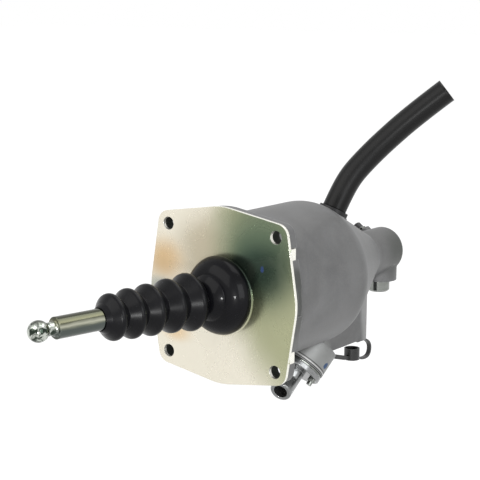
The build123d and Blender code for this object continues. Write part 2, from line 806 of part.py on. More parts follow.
def inlet_valve():
    valve = bar(valve_plane, valve_disc_radius, -disc_back, -disc_front)
    return valve + bar(valve_plane, valve_stem_radius, -disc_back - valve_stem_length, -disc_back)


def inlet_valve_spring():
    start = disc_front - seat_clearance - valve_spring_wire / 2
    height = start - spigot_depth - seat_clearance - valve_spring_wire / 2
    place = valve_end - valve_direction * start
    return coil(place, valve_direction, valve_spring_radius, valve_spring_wire, height, valve_spring_turns)


def elbow_line():
    """From the collar's face out to the open end."""
    start = valve_end + valve_direction * collar_back
    bend = valve_end + valve_direction * (collar_front + elbow_rise)
    return start, bend, bend + elbow_direction * elbow_length


def inlet_elbow():
    groove = spigot_depth / 2
    spigot = valve_bore_radius - seat_clearance
    body = turned_on(valve_plane, [
        (-spigot_depth, 0), (-spigot_depth, spigot - spigot_lead), (spigot_lead - spigot_depth, spigot),
        (collar_back, spigot), (collar_back, collar_radius), (collar_front - collar_edge, collar_radius),
        (collar_front, collar_radius - collar_edge), (collar_front, 0)])
    half = o_ring_thickness / 2 + seat_clearance
    body -= tube(valve_plane, valve_bore_radius, spigot - o_ring_depth, -groove - half, -groove + half)
    line = FilletPolyline(*elbow_line(), radius=elbow_bend_radius)
    end = Plane(origin=elbow_line()[2], z_dir=elbow_direction)
    body += sweep(valve_plane * Pos(0, 0, collar_back) * Circle(elbow_radius), path=line)
    body -= turned_on(end, [
        (-elbow_rim, elbow_radius), (0, elbow_radius - elbow_rim), (0, elbow_radius + 1),
        (-elbow_rim, elbow_radius + 1)])
    body -= sweep(valve_plane * Pos(0, 0, collar_back) * Circle(elbow_bore_radius), path=line)
    body -= bar(valve_plane, spigot_bore_radius, -spigot_depth - 1, collar_back)
    return body - bar(screw_plane(), elbow_screw_radius + seat_clearance, 0, collar_front + 1)


def elbow_o_ring():
    groove = spigot_depth / 2
    outer = valve_bore_radius - press_clearance
    inner = valve_bore_radius - seat_clearance - o_ring_depth + press_clearance
    half = o_ring_thickness / 2
    return tube(valve_plane, outer, inner, -groove - half, -groove + half)


def elbow_circlip():
    ring = tube(valve_plane, circlip_radius, valve_bore_radius, circlip_gap, circlip_gap + circlip_thickness)
    return ring - bar(screw_plane(), elbow_screw_radius + seat_clearance, -1, collar_back)


def elbow_screw():
    plane = screw_plane()
    hex_top = collar_front + elbow_screw_hex_height
    screw = bar(plane, elbow_screw_radius, -elbow_screw_depth + 1, collar_front)
    screw += hexagon(plane, elbow_screw_hex, collar_front, hex_top)
    return screw + bar(plane, elbow_screw_tip_radius, hex_top, hex_top + elbow_screw_tip)


# Strap: stud, disc, band, open cap and toothed tail moulded in one
def cap_strap():
    stud = bar(pillar_plane, strap_stud_radius, block_bottom - strap_stud_length, block_bottom)
    disc = bar(pillar_plane, strap_disc_radius, block_bottom, block_bottom + strap_disc_thickness)
    side_plane = Plane(origin=(strap_side, 0, 0), x_dir=(0, 1, 0), z_dir=(1, 0, 0))
    loop = trace(Spline(*loop_points, tangents=[(1, 0), (-1, 0.3)]), strap_thickness)
    band = extrude(side_plane * loop, amount=strap_width / 2, both=True)
    cup_plane = Plane(origin=(strap_side, cup_place, 0), x_dir=(1, 0, 0), z_dir=(0, 0, 1))
    cup = bar(cup_plane, cup_radius, cup_bottom, cup_top)
    tail_plane = side_plane * Pos(tail_root[0], tail_root[1], 0) * Rot(0, 0, -tail_slope)
    tail = tail_plane * Pos(-tail_length / 2, 0, 0) * Box(tail_length, tail_thickness, strap_width)
    tooth = Pos(tooth_start - tail_length, -tail_thickness / 2, 0) * Cylinder(tooth_radius, strap_width)
    tooth_count = int((tail_length - tail_plain) / tooth_pitch)
    teeth = [tail_plane * Pos(tooth_pitch * k, 0, 0) * tooth for k in range(tooth_count)]
    strap = stud + disc + band + cup + tail + teeth
    strap -= bar(cup_plane, cup_radius - cup_wall, cup_bottom + cup_wall, cup_top + 1)
    return strap - bar(valve_plane, valve_boss_radius + loose_clearance, -2 * valve_boss_length, 0)


pieces = [
    housing, mounting_plate, plate_gasket, port_washer, port_adapter, bleed_screw, bleed_cap, exhaust_spigot,
    exhaust_hose, guide_bush, plunger_seal, power_piston, piston_guide_ring, piston_seal, hydraulic_plunger,
    rod_retainer, return_spring, ball_cup, push_rod, rubber_boot, pilot_piston, pilot_seal, pilot_spring,
    pilot_plug, valve_seat, inlet_valve, inlet_valve_spring, inlet_elbow, elbow_o_ring, elbow_circlip,
    elbow_screw, cap_strap,
]
for piece in pieces:
    save(piece(), piece.__name__)
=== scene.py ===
import bpy
from math import atan2, cos, hypot, pi, radians, sin
from mathutils import Euler, Matrix, Vector


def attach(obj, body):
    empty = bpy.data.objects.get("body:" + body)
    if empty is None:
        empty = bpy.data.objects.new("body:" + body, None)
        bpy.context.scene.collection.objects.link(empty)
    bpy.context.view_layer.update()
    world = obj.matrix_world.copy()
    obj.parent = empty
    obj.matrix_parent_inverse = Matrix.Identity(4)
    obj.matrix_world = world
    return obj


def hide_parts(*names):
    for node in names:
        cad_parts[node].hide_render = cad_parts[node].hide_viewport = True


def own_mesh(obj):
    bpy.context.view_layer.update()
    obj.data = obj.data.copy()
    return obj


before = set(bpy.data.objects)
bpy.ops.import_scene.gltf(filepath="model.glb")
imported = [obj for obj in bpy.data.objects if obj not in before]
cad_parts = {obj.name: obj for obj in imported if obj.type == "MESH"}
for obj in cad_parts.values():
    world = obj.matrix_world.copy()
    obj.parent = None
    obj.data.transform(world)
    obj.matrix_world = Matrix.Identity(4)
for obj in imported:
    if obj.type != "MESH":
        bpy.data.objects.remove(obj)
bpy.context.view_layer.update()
mm = 0.001  # sizes of the pieces made here are in millimetres
smoothAngle = radians(38)
valveLine = (-0.2106, -0.6420, -0.7372)  # out of the casting, along the bore of the supply valve

# The photograph's view
cameraSettings = {
    "place": (0.6310, -0.8258, 0.2392),
    "azimuth": 36.514,
    "elevation": 10.479,
    "roll": 0.327,
    "lens": 97.35,
    "sensor": 36.0,
    "clip": (0.01, 60.0),
}

# Soft lamps, an even room and a pale floor, in metres and watts
lightSettings = {
    "key": {"place": (-0.55, -1.55, 1.25), "size": (2.2, 1.6), "power": 19.0, "colour": (1.0, 0.985, 0.96)},
    "window": {"place": (1.55, -0.55, 0.45), "size": (0.9, 1.1), "power": 12.0, "colour": (0.97, 0.985, 1.0)},
    "top": {"place": (0.35, 0.55, 1.6), "size": (1.4, 1.4), "power": 14.0, "colour": (1.0, 1.0, 1.0)},
    "front": {"place": (0.70, -1.10, -0.02), "size": (0.14, 0.12), "power": 6.0, "colour": (1.0, 1.0, 1.0)},
    "aim": (0.0, 0.03, 0.0),
    "world": 0.42,
    "floorSize": 24.0, "floorDrop": -0.118, "floorColour": (0.86, 0.86, 0.86, 1), "floorGlow": 1.16,
    "glowShare": 0.82,
}


def deselectAll():
    if bpy.context.mode != "OBJECT":
        bpy.ops.object.mode_set(mode="OBJECT")
    bpy.ops.object.select_all(action="DESELECT")


def makeActive(piece):
    deselectAll()
    piece.select_set(True)
    bpy.context.view_layer.objects.active = piece


def placeInMesh(piece):
    makeActive(piece)
    bpy.ops.object.transform_apply(location=True, rotation=True, scale=True)


def applyModifiers(piece):
    makeActive(piece)
    for modifier in list(piece.modifiers):
        bpy.ops.object.modifier_apply(modifier=modifier.name)


def addWall(piece, thickness):
    wall = piece.modifiers.new("wall", "SOLIDIFY")
    wall.thickness = thickness * mm
    wall.offset = -1.0


# Camera
def addCamera(settings):
    bpy.ops.object.camera_add(location=settings["place"])
    camera = bpy.context.object
    camera.name = "photoCamera"
    turn = Euler((radians(90 - settings["elevation"]), 0, radians(settings["azimuth"]))).to_matrix()
    turn = turn @ Matrix.Rotation(radians(settings["roll"]), 3, "Z")
    camera.rotation_euler = turn.to_euler()
    camera.data.lens = settings["lens"]
    camera.data.sensor_width = settings["sensor"]
    camera.data.clip_start, camera.data.clip_end = settings["clip"]
    bpy.context.scene.camera = camera


deselectAll()
addCamera(cameraSettings)
print("camera placed")


# Shader building
def newGroup(name, inputs, outputs):
    group = bpy.data.node_groups.new(name, "ShaderNodeTree")
    for label, kind, value in inputs:
        socket = group.interface.new_socket(name=label, in_out="INPUT", socket_type="NodeSocket" + kind)
        if value is not None:
            socket.default_value = value
    for label, kind in outputs:
        group.interface.new_socket(name=label, in_out="OUTPUT", socket_type="NodeSocket" + kind)
    return group, group.nodes.new("NodeGroupInput").outputs, group.nodes.new("NodeGroupOutput").inputs


def addNode(tree, kind, **values):
    node = tree.nodes.new(kind)
    for name, value in values.items():
        setattr(node, name, value)
    return node


def feed(tree, value, socket):
    if isinstance(value, bpy.types.NodeSocket):
        tree.links.new(value, socket)
    else:
        socket.default_value = value


def addNoise(tree, vector, scale, detail=4.0, roughness=0.5, distortion=0.0):
    node = addNode(tree, "ShaderNodeTexNoise")
    feed(tree, vector, node.inputs["Vector"])
    feed(tree, scale, node.inputs["Scale"])
    feed(tree, detail, node.inputs["Detail"])
    feed(tree, roughness, node.inputs["Roughness"])
    feed(tree, distortion, node.inputs["Distortion"])
    return node.outputs["Fac"]


def calc(tree, operation, a, b=0.0, c=None, clamp=False):
    node = addNode(tree, "ShaderNodeMath", operation=operation, use_clamp=clamp)
    feed(tree, a, node.inputs[0])
    feed(tree, b, node.inputs[1])
    if c is not None:
        feed(tree, c, node.inputs[2])
    return node.outputs[0]


def vectorCalc(tree, operation, a, b=None):
    node = addNode(tree, "ShaderNodeVectorMath", operation=operation)
    feed(tree, a, node.inputs[0])
    if b is not None:
        feed(tree, b, node.inputs[1])
    return node.outputs["Value" if operation in ("DOT_PRODUCT", "LENGTH") else "Vector"]


def spread(tree, value, low, high, toLow=0.0, toHigh=1.0, way="LINEAR"):
    node = addNode(tree, "ShaderNodeMapRange", clamp=True, interpolation_type=way)
    feed(tree, value, node.inputs["Value"])
    feed(tree, low, node.inputs["From Min"])
    feed(tree, high, node.inputs["From Max"])
    feed(tree, toLow, node.inputs["To Min"])
    feed(tree, toHigh, node.inputs["To Max"])
    return node.outputs["Result"]


def mixColour(tree, share, a, b):
    node = addNode(tree, "ShaderNodeMix", data_type="RGBA")
    feed(tree, share, node.inputs[0])
    feed(tree, a, node.inputs[6])
    feed(tree, b, node.inputs[7])
    return node.outputs[2]


def stretch(tree, vector, scale):
    node = addNode(tree, "ShaderNodeMapping", vector_type="POINT")
    feed(tree, vector, node.inputs["Vector"])
    feed(tree, scale, node.inputs["Scale"])
    return node.outputs["Vector"]


# How far a point lies from a place, as a share of a size given along each axis
def shareOfReach(tree, vector, place, size):
    away = vectorCalc(tree, "SUBTRACT", vector, place)
    return vectorCalc(tree, "LENGTH", vectorCalc(tree, "DIVIDE", away, size))


# Worn edges: where the rounded normal leaves the true one
edgeRubSettings = {"turned": (0.995, 0.80), "broken": (0.32, 0.62), "samples": 4}


def buildEdgeRub(settings):
    group, given, result = newGroup("edgeRub", [
        ("Vector", "Vector", None), ("Patches", "Float", 180.0), ("Reach", "Float", 0.0008),
        ("Amount", "Float", 1.0)], [("Mask", "Float"), ("Normal", "Vector")])
    bevel = addNode(group, "ShaderNodeBevel", samples=settings["samples"])
    feed(group, given["Reach"], bevel.inputs["Radius"])
    geometry = addNode(group, "ShaderNodeNewGeometry")
    likeness = vectorCalc(group, "DOT_PRODUCT", bevel.outputs["Normal"], geometry.outputs["Normal"])
    edge = spread(group, likeness, *settings["turned"])
    broken = spread(group, addNoise(group, given["Vector"], given["Patches"], 3.0), *settings["broken"])
    mask = calc(group, "MULTIPLY", calc(group, "MULTIPLY", edge, broken), given["Amount"], clamp=True)
    feed(group, mask, result["Mask"])
    feed(group, bevel.outputs["Normal"], result["Normal"])
    return group


# Mottling, grain and pits of a cast or moulded skin
castSkinSettings = {"pitDepth": (0.0, 0.28), "few": (0.52, 0.64), "fewSize": 60.0, "grainShare": 0.35,
                    "cloudShare": 0.65}


def buildCastSkin(settings):
    group, given, result = newGroup("castSkin", [
        ("Vector", "Vector", None), ("Grain", "Float", 900.0), ("Clouds", "Float", 28.0),
        ("Pits", "Float", 420.0)], [("Tone", "Float"), ("Height", "Float"), ("Speck", "Float")])
    grain = addNoise(group, given["Vector"], given["Grain"], 3.0, 0.6)
    clouds = addNoise(group, given["Vector"], given["Clouds"], 5.0, 0.6, 0.4)
    cells = addNode(group, "ShaderNodeTexVoronoi", feature="F1")
    feed(group, given["Vector"], cells.inputs["Vector"])
    feed(group, given["Pits"], cells.inputs["Scale"])
    few = spread(group, addNoise(group, given["Vector"], settings["fewSize"], 2.0), *settings["few"])
    pit = spread(group, cells.outputs["Distance"], *settings["pitDepth"], 1.0, 0.0)
    pit = calc(group, "MULTIPLY", pit, few)
    cloudTone = calc(group, "MULTIPLY", clouds, settings["cloudShare"])
    feed(group, calc(group, "MULTIPLY_ADD", grain, settings["grainShare"], cloudTone), result["Tone"])
    feed(group, calc(group, "SUBTRACT", grain, pit), result["Height"])
    feed(group, pit, result["Speck"])
    return group


# Fine lines left by turning, grinding or drawing: stretched noise along one direction
def buildToolLines():
    group, given, result = newGroup("toolLines", [("Vector", "Vector", None)], [("Lines", "Float")])
    feed(group, addNoise(group, given["Vector"], 1.0, 2.0, 0.7), result["Lines"])
    return group


# Handling marks: soft smears
def buildHandling(smearing=(0.38, 0.72)):
    group, given, result = newGroup("handling", [
        ("Vector", "Vector", None), ("Size", "Float", 40.0)], [("Smear", "Float")])
    smear = addNoise(group, given["Vector"], given["Size"], 4.0, 0.65, 1.2)
    feed(group, spread(group, smear, *smearing), result["Smear"])
    return group


# A dab of paint with a ragged edge, round a point of the row frame
paintDabSettings = {"ragged": 700.0, "raggedShare": 0.7, "edge": (1.22, 1.38)}


def buildPaintDab(settings):
    group, given, result = newGroup("paintDab", [
        ("Vector", "Vector", None), ("Place", "Vector", None), ("Size", "Vector", None)], [("Mask", "Float")])
    reach = shareOfReach(group, given["Vector"], given["Place"], given["Size"])
    ragged = addNoise(group, given["Vector"], settings["ragged"], 3.0)
    ragged = calc(group, "MULTIPLY_ADD", ragged, settings["raggedShare"], reach)
    feed(group, spread(group, ragged, *settings["edge"], 1.0, 0.0), result["Mask"])
    return group


# Painted shade, with some grime, that darkens where a surface lies deep between others
creviceSettings = {"samples": 6, "patches": 70.0, "patchShare": 0.25, "open": (0.30, 0.85)}


def buildCrevice(settings):
    group, given, result = newGroup("crevice", [
        ("Vector", "Vector", None), ("Reach", "Float", 0.01)], [("Mask", "Float")])
    shade = addNode(group, "ShaderNodeAmbientOcclusion", samples=settings["samples"])
    feed(group, given["Reach"], shade.inputs["Distance"])
    patches = addNoise(group, given["Vector"], settings["patches"], 3.0)
    clear = calc(group, "MULTIPLY_ADD", patches, settings["patchShare"], shade.outputs["AO"])
    feed(group, spread(group, clear, *settings["open"], 1.0, 0.0), result["Mask"])
    return group


# A wide soft cloud of another colour round a point of the row frame: film tints, and patches of painted
# light, shade and reflection
def buildTintAndLightPatch(driftSize=22.0):
    group, given, result = newGroup("tintAndLightPatch", [
        ("Vector", "Vector", None), ("Place", "Vector", None), ("Size", "Vector", None),
        ("Inner", "Float", 0.1), ("Outer", "Float", 1.1), ("Wobble", "Float", 0.5)], [("Mask", "Float")])
    reach = shareOfReach(group, given["Vector"], given["Place"], given["Size"])
    drift = calc(group, "SUBTRACT", addNoise(group, given["Vector"], driftSize, 3.0, 0.5, 0.6), 0.5)
    drift = calc(group, "MULTIPLY_ADD", drift, given["Wobble"], reach)
    mask = spread(group, drift, given["Inner"], given["Outer"], 1.0, 0.0, way="SMOOTHERSTEP")
    feed(group, mask, result["Mask"])
    return group


edgeRub = buildEdgeRub(edgeRubSettings)
tintAndLightPatch = buildTintAndLightPatch()
crevice = buildCrevice(creviceSettings)
castSkin = buildCastSkin(castSkinSettings)
toolLines = buildToolLines()
handling = buildHandling()
paintDab = buildPaintDab(paintDabSettings)
print("shader groups built")


def useGroup(tree, group, vector, **values):
    node = addNode(tree, "ShaderNodeGroup", node_tree=group)
    feed(tree, vector, node.inputs["Vector"])
    for label, value in values.items():
        feed(tree, value, node.inputs[label])
    return node.outputs


def newMaterial(name, shader):
    material = bpy.data.materials.new(name)
    material.use_nodes = True
    tree = material.node_tree
    principled = tree.nodes["Principled BSDF"]
    for label, value in shader.items():
        principled.inputs[label].default_value = value
    return material, tree, principled, addNode(tree, "ShaderNodeTexCoord").outputs["Object"]


# Colour and roughness of a finish, and its relief: (depth, strength) over the normal
def finishWith(tree, principled, colour, roughness, height, relief, normal=None):
    feed(tree, colour, principled.inputs["Base Color"])
    feed(tree, roughness, principled.inputs["Roughness"])
    bump = addNode(tree, "ShaderNodeBump")
    feed(tree, relief[0], bump.inputs["Distance"])
    feed(tree, relief[1], bump.inputs["Strength"])
    feed(tree, height, bump.inputs["Height"])
    if normal is not None:
        feed(tree, normal, bump.inputs["Normal"])
    feed(tree, bump.outputs["Normal"], principled.inputs["Normal"])


# The casting: a mottled skin with lighter and darker places, patches of painted light and shade, painted
# rings of groove shade and chamfer highlight, painted shade with some grime in its crevices, painted shade in
# its bolt holes, and a dab of paint
castSettings = {
    "dark": (0.088, 0.089, 0.090, 1), "light": (0.150, 0.151, 0.152, 1), "rubbed": (0.36, 0.36, 0.36, 1),
    "stain": (0.085, 0.082, 0.072, 1), "stainSize": 18.0, "stainShare": 0.22,
    "pit": (0.06, 0.06, 0.06, 1), "pitShare": 0.55, "tones": (0.34, 0.62),
    "metallic": 0.35, "roughTones": (0.35, 0.65), "rough": (0.38, 0.52), "relief": (0.00025, 0.45),
    "edge": 0.0012, "edgeShare": 0.8, "edgeShine": 0.18,
    "grime": (0.022, 0.023, 0.021, 1), "grimeReach": 0.009,
    "patches": {
        # Painted light and shade: the valve boss lighter as if lit from the floor below, painted shade on the
        # side of the rear boss, on the flange side and in its recess, and a painted highlight along the
        # pillar
        "valveBossFloorLight": {"colour": (0.24, 0.245, 0.24, 1), "place": (0.0, 0.122, -0.080),
                       "size": (0.034, 0.030, 0.030), "inner": 0.75, "outer": 1.15},
        "rearBossShade": {"colour": (0.062, 0.067, 0.062, 1), "place": (0.026, 0.262, 0.004),
                     "size": (0.030, 0.034, 0.034), "inner": 0.2, "outer": 1.2},
        "pillarShine": {"colour": (0.25, 0.25, 0.25, 1), "place": (0.016, 0.206, -0.045),
                   "size": (0.010, 0.010, 0.050), "inner": 0.5, "outer": 1.1},
        "flangeSideShade": {"colour": (0.075, 0.078, 0.074, 1), "place": (0.080, 0.006, 0.0),
                       "size": (0.012, 0.011, 0.200), "inner": 0.7, "outer": 1.1},
        "recessShade": {"colour": (0.050, 0.053, 0.050, 1), "place": (0.076, 0.008, 0.014),
                   "size": (0.011, 0.014, 0.030), "inner": 0.7, "outer": 1.0},
    },
    # The bore colour is painted shade inside the bolt holes
    "boltPlace": 0.055, "boltReach": 0.0068, "bore": (0.010, 0.013, 0.009, 1),
    "valveEnd": (-0.0013, 0.1195, -0.0839), "valveReach": 0.0265,
    # Painted rings: dark lines as painted shade in grooves, a pale line as a painted highlight on a chamfer
    "rings": {-0.0011: (0.05, 0.05, 0.05, 1), -0.0022: (0.46, 0.46, 0.45, 1), -0.0036: (0.06, 0.06, 0.06, 1)},
    "ringWidth": 0.00042, "ringFade": 1.6,
    "dabPlace": (0.02376, 0.12489, -0.08354), "dabSize": (0.0027, 0.0036, 0.0030),
    "dab": (0.006, 0.045, 0.13, 1),
}


def addPatches(tree, place, colour, patches):
    for patch in patches.values():
        cloud = useGroup(tree, tintAndLightPatch, place, Place=patch["place"], Size=patch["size"],
                         Inner=patch["inner"], Outer=patch["outer"], Wobble=patch.get("wobble", 0.3))
        colour = mixColour(tree, cloud["Mask"], colour, patch["colour"])
    return colour


def splitPlace(tree, vector):
    parts = addNode(tree, "ShaderNodeSeparateXYZ")
    feed(tree, vector, parts.inputs[0])
    return parts.outputs


# Painted shade inside the four bolt holes
def boltBores(tree, place, settings):
    parts = splitPlace(tree, place)
    across = calc(tree, "SUBTRACT", calc(tree, "ABSOLUTE", parts["X"]), settings["boltPlace"])
    up = calc(tree, "SUBTRACT", calc(tree, "ABSOLUTE", parts["Z"]), settings["boltPlace"])
    squares = calc(tree, "ADD", calc(tree, "POWER", across, 2.0), calc(tree, "POWER", up, 2.0))
    return calc(tree, "LESS_THAN", calc(tree, "SQRT", squares), settings["boltReach"])


# Painted rings near the open end of the valve boss: dark lines as painted shade in grooves, a pale line as a
# painted highlight on a chamfer
def ringShadeAndHighlight(tree, place, colour, settings):
    away = vectorCalc(tree, "SUBTRACT", place, settings["valveEnd"])
    along = vectorCalc(tree, "DOT_PRODUCT", away, valveLine)
    near = calc(tree, "LESS_THAN", vectorCalc(tree, "LENGTH", away), settings["valveReach"])
    width = settings["ringWidth"]
    for depth, ringColour in settings["rings"].items():
        off = calc(tree, "ABSOLUTE", calc(tree, "SUBTRACT", along, depth))
        ring = calc(tree, "MULTIPLY", spread(tree, off, width, width * settings["ringFade"], 1.0, 0.0), near)
        colour = mixColour(tree, ring, colour, ringColour)
    return colour


def castAluminium(settings):
    material, tree, principled, place = newMaterial("castAluminium", {})
    skin = useGroup(tree, castSkin, place)
    rub = useGroup(tree, edgeRub, place, Reach=settings["edge"], Amount=settings["edgeShare"])
    stain = useGroup(tree, handling, place, Size=settings["stainSize"])["Smear"]
    # Painted shade, with some grime, darkening crevices and recesses
    deep = useGroup(tree, crevice, place, Reach=settings["grimeReach"])
    paint = useGroup(tree, paintDab, place, Place=settings["dabPlace"], Size=settings["dabSize"])
    # Painted shade inside the bolt holes
    bores = boltBores(tree, place, settings)
    tone = spread(tree, skin["Tone"], *settings["tones"])
    colour = mixColour(tree, tone, settings["dark"], settings["light"])
    colour = addPatches(tree, place, colour, settings["patches"])
    colour = mixColour(tree, calc(tree, "MULTIPLY", stain, settings["stainShare"]), colour, settings["stain"])
    pits = calc(tree, "MULTIPLY", skin["Speck"], settings["pitShare"])
    colour = mixColour(tree, pits, colour, settings["pit"])
    colour = ringShadeAndHighlight(tree, place, colour, settings)
    masks = {"rubbed": rub["Mask"], "grime": deep["Mask"], "bore": bores, "dab": paint["Mask"]}
    for name, mask in masks.items():
        colour = mixColour(tree, mask, colour, settings[name])
    roughness = spread(tree, skin["Tone"], *settings["roughTones"], *settings["rough"])
    roughness = calc(tree, "MULTIPLY_ADD", rub["Mask"], -settings["edgeShine"], roughness)
    roughness = calc(tree, "MAXIMUM", roughness, bores)
    metallic = calc(tree, "MULTIPLY_ADD", bores, -settings["metallic"], settings["metallic"])
    feed(tree, metallic, principled.inputs["Metallic"])
    finishWith(tree, principled, colour, roughness, skin["Height"], settings["relief"], rub["Normal"])
    return material


# The plate: a zinc film whose colour drifts from place to place, with painted reflections in olive and dark
# green beside the boot and painted shade by its opening, and bright at its cut edges, partly bare metal and
# partly painted highlight
plateSettings = {
    "film": (0.75, 0.71, 0.60, 1), "rubbed": (0.84, 0.83, 0.76, 1), "edge": 0.0004, "edgePatches": 90.0,
    "smear": (0.50, 0.47, 0.38, 1), "smearSize": 26.0, "smearShare": 0.06, "metallic": 0.72,
    "rough": (0.22, 0.30), "grain": 1500.0, "grainRough": 0.05, "waves": 9.0, "relief": (0.0006, 0.20),
    "patches": {
        "beige": {"colour": (0.47, 0.42, 0.31, 1), "place": (-0.014, 0.0, 0.036),
                  "size": (0.046, 1.0, 0.046), "inner": 0.1, "outer": 1.15},
        "peach": {"colour": (0.60, 0.43, 0.24, 1), "place": (-0.060, 0.0, 0.024),
                  "size": (0.030, 1.0, 0.026), "inner": 0.0, "outer": 1.15, "wobble": 0.15},
        "grey": {"colour": (0.42, 0.43, 0.38, 1), "place": (-0.064, 0.0, 0.000),
                 "size": (0.026, 1.0, 0.012), "inner": 0.1, "outer": 1.1},
        # olive and green: film tint with painted reflections of the dark boot; bootReflection: a painted
        # reflection of the boot; rimShade: painted shade by the opening
        "oliveTintAndReflection": {"colour": (0.345, 0.355, 0.215, 1), "place": (0.114, 0.0, 0.060),
                  "size": (0.120, 1.0, 0.152), "inner": 0.76, "outer": 1.16, "wobble": 0.12},
        "greenTintAndReflection": {"colour": (0.105, 0.145, 0.090, 1), "place": (0.042, 0.0, 0.040),
                  "size": (0.056, 1.0, 0.060), "inner": 0.20, "outer": 1.16, "wobble": 0.15},
        "bootReflection": {"colour": (0.036, 0.066, 0.046, 1), "place": (0.038, 0.0, 0.028),
                      "size": (0.034, 1.0, 0.030), "inner": 0.0, "outer": 1.2},
        "rimShade": {"colour": (0.026, 0.042, 0.030, 1), "place": (0.021, 0.0, 0.021),
                     "size": (0.019, 1.0, 0.018), "inner": 0.6, "outer": 1.05},
        "rose": {"colour": (0.70, 0.55, 0.36, 1), "place": (-0.046, 0.0, -0.037),
                 "size": (0.020, 1.0, 0.011), "inner": 0.0, "outer": 1.2},
    },
    "cutShineSlope": (0.35, 0.75), "cutShineStart": (0.040, 0.048),
    "dabPlace": (0.0418, 0.0, 0.0276), "dabSize": (0.0017, 0.004, 0.0027), "dab": (0.008, 0.028, 0.100, 1),
    "dabRough": 0.25,
}


def yellowZinc(settings):
    material, tree, principled, place = newMaterial("yellowZinc", {})
    rub = useGroup(tree, edgeRub, place, Reach=settings["edge"], Patches=settings["edgePatches"])
    smear = useGroup(tree, handling, place, Size=settings["smearSize"])["Smear"]
    paint = useGroup(tree, paintDab, place, Place=settings["dabPlace"], Size=settings["dabSize"])["Mask"]
    colour = addPatches(tree, place, settings["film"], settings["patches"])
    colour = mixColour(tree, calc(tree, "MULTIPLY", smear, settings["smearShare"]), colour, settings["smear"])
    facing = splitPlace(tree, addNode(tree, "ShaderNodeNewGeometry").outputs["Normal"])
    # Side faces away from the opening are bright: partly bare cut metal, partly a painted highlight
    cut = spread(tree, calc(tree, "ABSOLUTE", facing["Y"]), *settings["cutShineSlope"], 1.0, 0.0)
    outside = spread(tree, vectorCalc(tree, "LENGTH", place), *settings["cutShineStart"])
    wornAndShiningEdges = calc(tree, "MULTIPLY", calc(tree, "MAXIMUM", rub["Mask"], cut), outside)
    colour = mixColour(tree, wornAndShiningEdges, colour, settings["rubbed"])
    colour = mixColour(tree, paint, colour, settings["dab"])
    roughness = spread(tree, smear, 0.0, 1.0, *settings["rough"])
    grain = addNoise(tree, place, settings["grain"], 2.0)
    roughness = calc(tree, "MULTIPLY_ADD", grain, settings["grainRough"], roughness)
    roughness = calc(tree, "MULTIPLY_ADD", paint, settings["dabRough"], roughness)
    metallic = calc(tree, "MULTIPLY_ADD", paint, -settings["metallic"], settings["metallic"])
    feed(tree, metallic, principled.inputs["Metallic"])
    waves = addNoise(tree, place, settings["waves"], 1.0, 0.3)
    finishWith(tree, principled, colour, roughness, waves, settings["relief"], rub["Normal"])
    return material


# Metals: one recipe, each finish with its own values
metalSettings = {
    "zincSteel": {"base": (0.27, 0.28, 0.265, 1), "tint": (0.12, 0.13, 0.115, 1), "rough": (0.14, 0.24),
                  "lines": (40, 900, 40), "bump": 0.12, "edge": 0.0006, "metallic": 1.0},
    "zincCasting": {"base": (0.30, 0.305, 0.305, 1), "tint": (0.13, 0.135, 0.135, 1), "rough": (0.18, 0.30),
                    "lines": (500, 500, 500), "bump": 0.30, "edge": 0.0007, "metallic": 0.9},
    "machinedAluminium": {"base": (0.74, 0.74, 0.75, 1), "tint": (0.58, 0.58, 0.60, 1), "rough": (0.22, 0.36),
                          "lines": (60, 1200, 60), "bump": 0.18, "edge": 0.0005, "metallic": 1.0},
    "groundSteel": {"base": (0.64, 0.64, 0.65, 1), "tint": (0.50, 0.50, 0.52, 1), "rough": (0.10, 0.18),
                    "lines": (30, 1600, 30), "bump": 0.06, "edge": 0.0005, "metallic": 1.0},
    "springSteel": {"base": (0.30, 0.30, 0.31, 1), "tint": (0.16, 0.16, 0.18, 1), "rough": (0.28, 0.42),
                    "lines": (300, 300, 300), "bump": 0.15, "edge": 0.0004, "metallic": 1.0},
    "bronze": {"base": (0.70, 0.50, 0.26, 1), "tint": (0.52, 0.36, 0.18, 1), "rough": (0.24, 0.38),
               "lines": (60, 1100, 60), "bump": 0.14, "edge": 0.0004, "metallic": 1.0},
    "copper": {"base": (0.78, 0.45, 0.32, 1), "tint": (0.50, 0.27, 0.18, 1), "rough": (0.26, 0.42),
               "lines": (300, 300, 300), "bump": 0.12, "edge": 0.0004, "metallic": 1.0},
}

# What the plain metals share
metalMarks = {
    "smearSize": 60.0, "smearShare": 0.55, "lineShare": 0.4, "edgePatches": 300.0, "edgeShare": 0.7,
    "rubbed": (0.80, 0.80, 0.80, 1), "roughShares": (0.1, 0.8), "depth": 0.0001,
}


def metalFinish(name, settings, marks):
    material, tree, principled, place = newMaterial(name, {"Metallic": settings["metallic"]})
    lines = useGroup(tree, toolLines, stretch(tree, place, settings["lines"]))["Lines"]
    smear = useGroup(tree, handling, place, Size=marks["smearSize"])["Smear"]
    rub = useGroup(tree, edgeRub, place, Reach=settings["edge"], Patches=marks["edgePatches"],
                   Amount=marks["edgeShare"])
    share = calc(tree, "MULTIPLY", lines, marks["lineShare"])
    share = calc(tree, "MULTIPLY_ADD", smear, marks["smearShare"], share)
    colour = mixColour(tree, share, settings["base"], settings["tint"])
    colour = mixColour(tree, rub["Mask"], colour, marks["rubbed"])
    roughness = spread(tree, share, *marks["roughShares"], *settings["rough"])
    finishWith(tree, principled, colour, roughness, lines, (marks["depth"], settings["bump"]), rub["Normal"])
    return material


